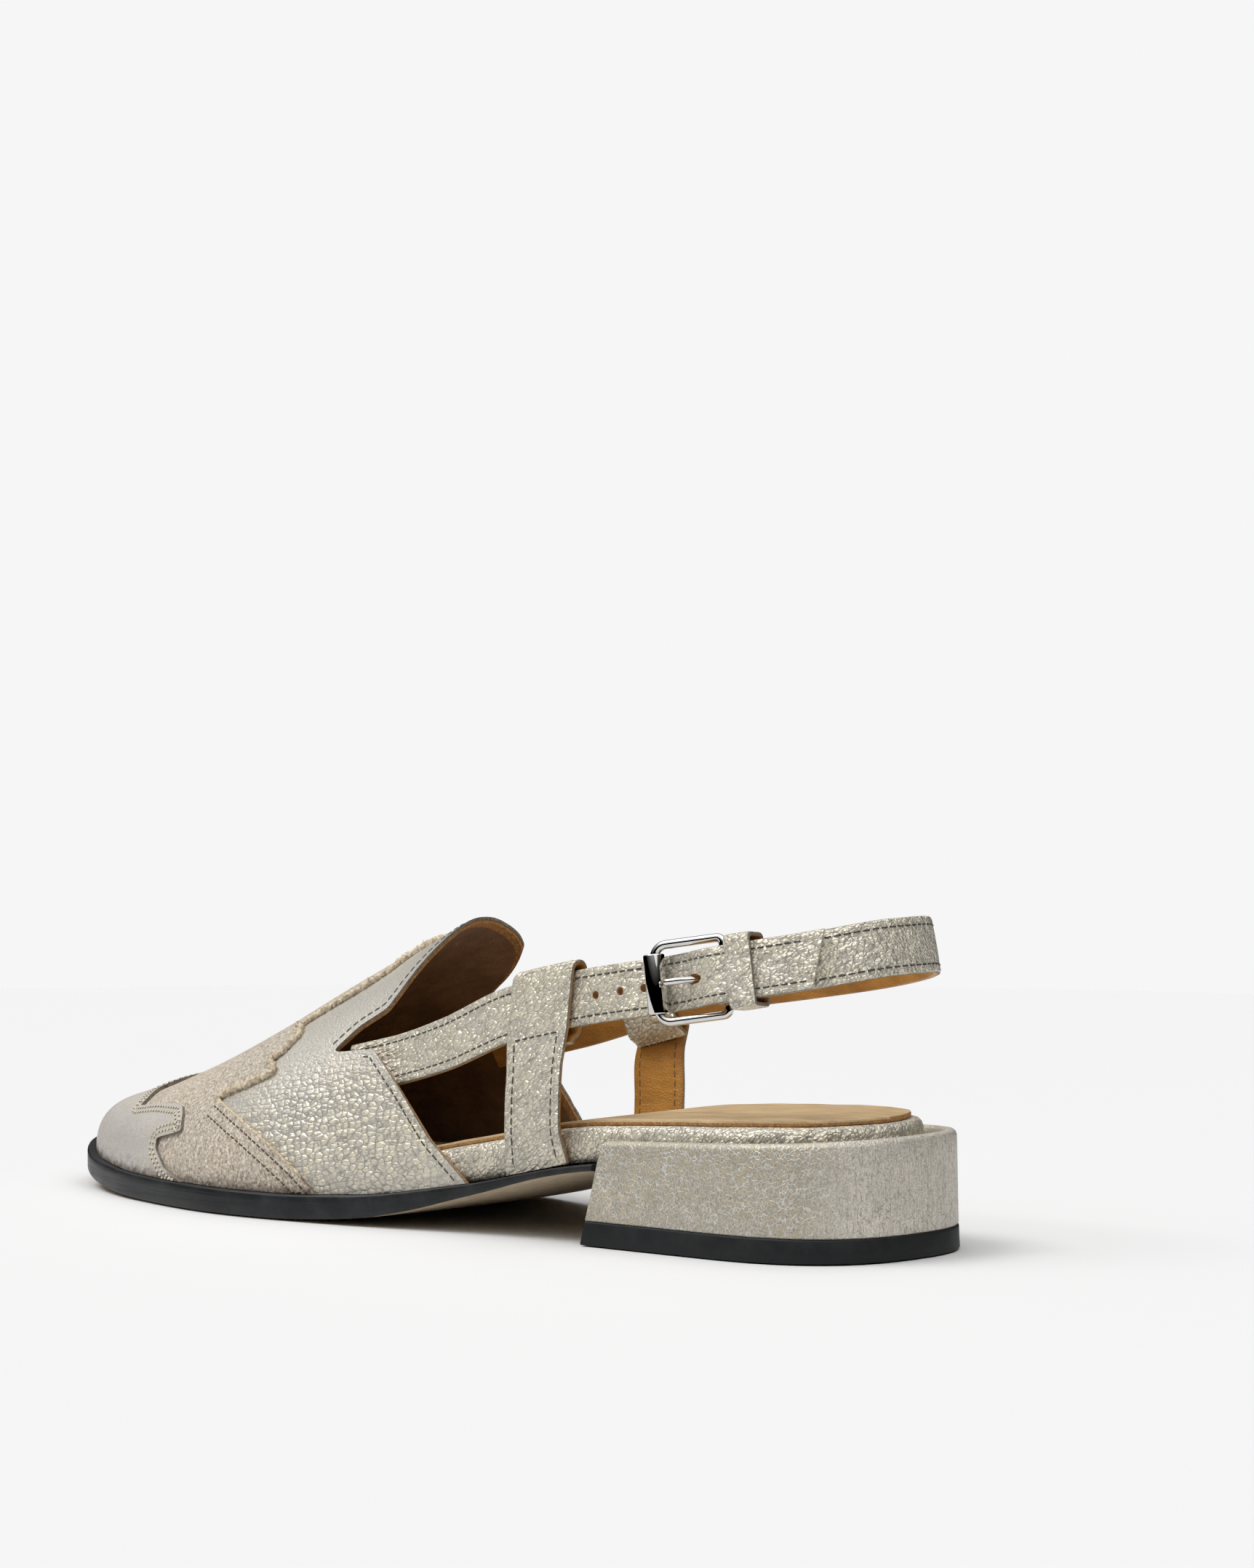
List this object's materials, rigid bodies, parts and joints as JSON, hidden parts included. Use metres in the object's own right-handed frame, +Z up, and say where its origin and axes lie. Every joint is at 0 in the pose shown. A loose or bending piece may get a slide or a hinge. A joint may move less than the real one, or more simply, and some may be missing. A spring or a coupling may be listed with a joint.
{
  "type": "slingback shoe",
  "caption": "Left slingback shoe with closed almond toe, loafer tongue, side straps, buckled ankle strap and low covered block heel.",
  "frame": {"origin": "middle of the shoe's outline on the floor", "axes": "+X to the toe, +Y to the outer side of the left foot, +Z up"},
  "size_m": [0.2619, 0.0871, 0.0765],
  "materials": {
    "metallic_leather": "pebbled champagne metallic leather, soft sheen",
    "suede": "greige suede with a raw, fibrous edge, matte",
    "tan_leather": "smooth tan lining leather, satin",
    "black_sole": "black painted and burnished sole edge, satin",
    "black_rubber": "matte black rubber",
    "chrome": "polished nickel plate"
  },
  "bodies": {
    "root": {"outsole": "black_sole", "heel": "metallic_leather", "top_piece": "black_rubber", "insole": "metallic_leather", "sock": "tan_leather", "upper": "metallic_leather", "suede_wing": "suede", "toe_cap": "metallic_leather", "t_strap_lateral": "metallic_leather", "t_strap_medial": "metallic_leather", "strap_lateral": "metallic_leather", "sling": "metallic_leather", "keeper": "metallic_leather", "buckle_frame": "chrome", "buckle_roller": "chrome", "buckle_prong": "chrome"}
  },
  "joints": []
}
